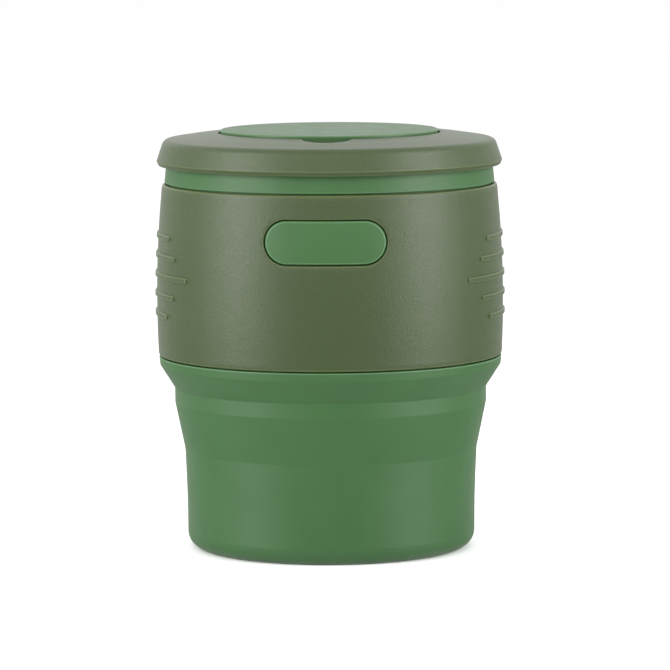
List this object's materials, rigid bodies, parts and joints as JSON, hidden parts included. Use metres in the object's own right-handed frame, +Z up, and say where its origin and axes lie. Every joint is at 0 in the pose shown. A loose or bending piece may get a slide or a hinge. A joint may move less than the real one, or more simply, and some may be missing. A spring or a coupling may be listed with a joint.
{
  "type": "collapsible travel cup",
  "caption": "Round folding silicone cup in a rigid grip sleeve, with a press-on lid and a flip cap over the sip hole. The cup's wall turns inside out in steps to pack flat.",
  "frame": {"origin": "centre of the foot, on the surface that the cup stands on", "axes": "+Z up along the cup's axis; the front, with the window and the thumb notch, faces -Y; the flip cap's hinge is at +Y"},
  "size_m": [0.0908, 0.09, 0.109],
  "materials": {
    "silicone": "satin",
    "olive_plastic": "fine spark-eroded matte",
    "green_plastic": "satin",
    "steel": "bright drawn wire"
  },
  "bodies": {
    "base": {"base_cup": "silicone", "lower_fold_web": "silicone"},
    "ring": {"mid_ring": "silicone"},
    "upper": {"upper_wall": "silicone", "grip_sleeve": "olive_plastic", "upper_fold_web": "silicone"},
    "lid": {"lid_shell": "olive_plastic", "lid_gasket": "silicone", "hinge_pin": "steel"},
    "cap": {"flip_cap": "green_plastic", "sip_seal": "silicone", "vent_seal": "silicone"}
  },
  "joints": [
    {"name": "lower_fold", "type": "slide", "parent": "base", "child": "ring", "axis": [0, 0, -1], "range_m": [0, 0.0242], "deforming": ["lower_fold_web"]},
    {"name": "upper_fold", "type": "slide", "parent": "ring", "child": "upper", "axis": [0, 0, -1], "range_m": [0, 0.0122], "deforming": ["upper_fold_web"]},
    {"name": "lid_lift", "type": "slide", "parent": "upper", "child": "lid", "axis": [0, 0, 1], "range_m": [0, 0.035]},
    {"name": "cap_hinge", "type": "hinge", "parent": "lid", "child": "cap", "pos_m": [0, 0.0297, 0.1066], "axis": [-1, 0, 0], "range_deg": [0, 110]}
  ]
}
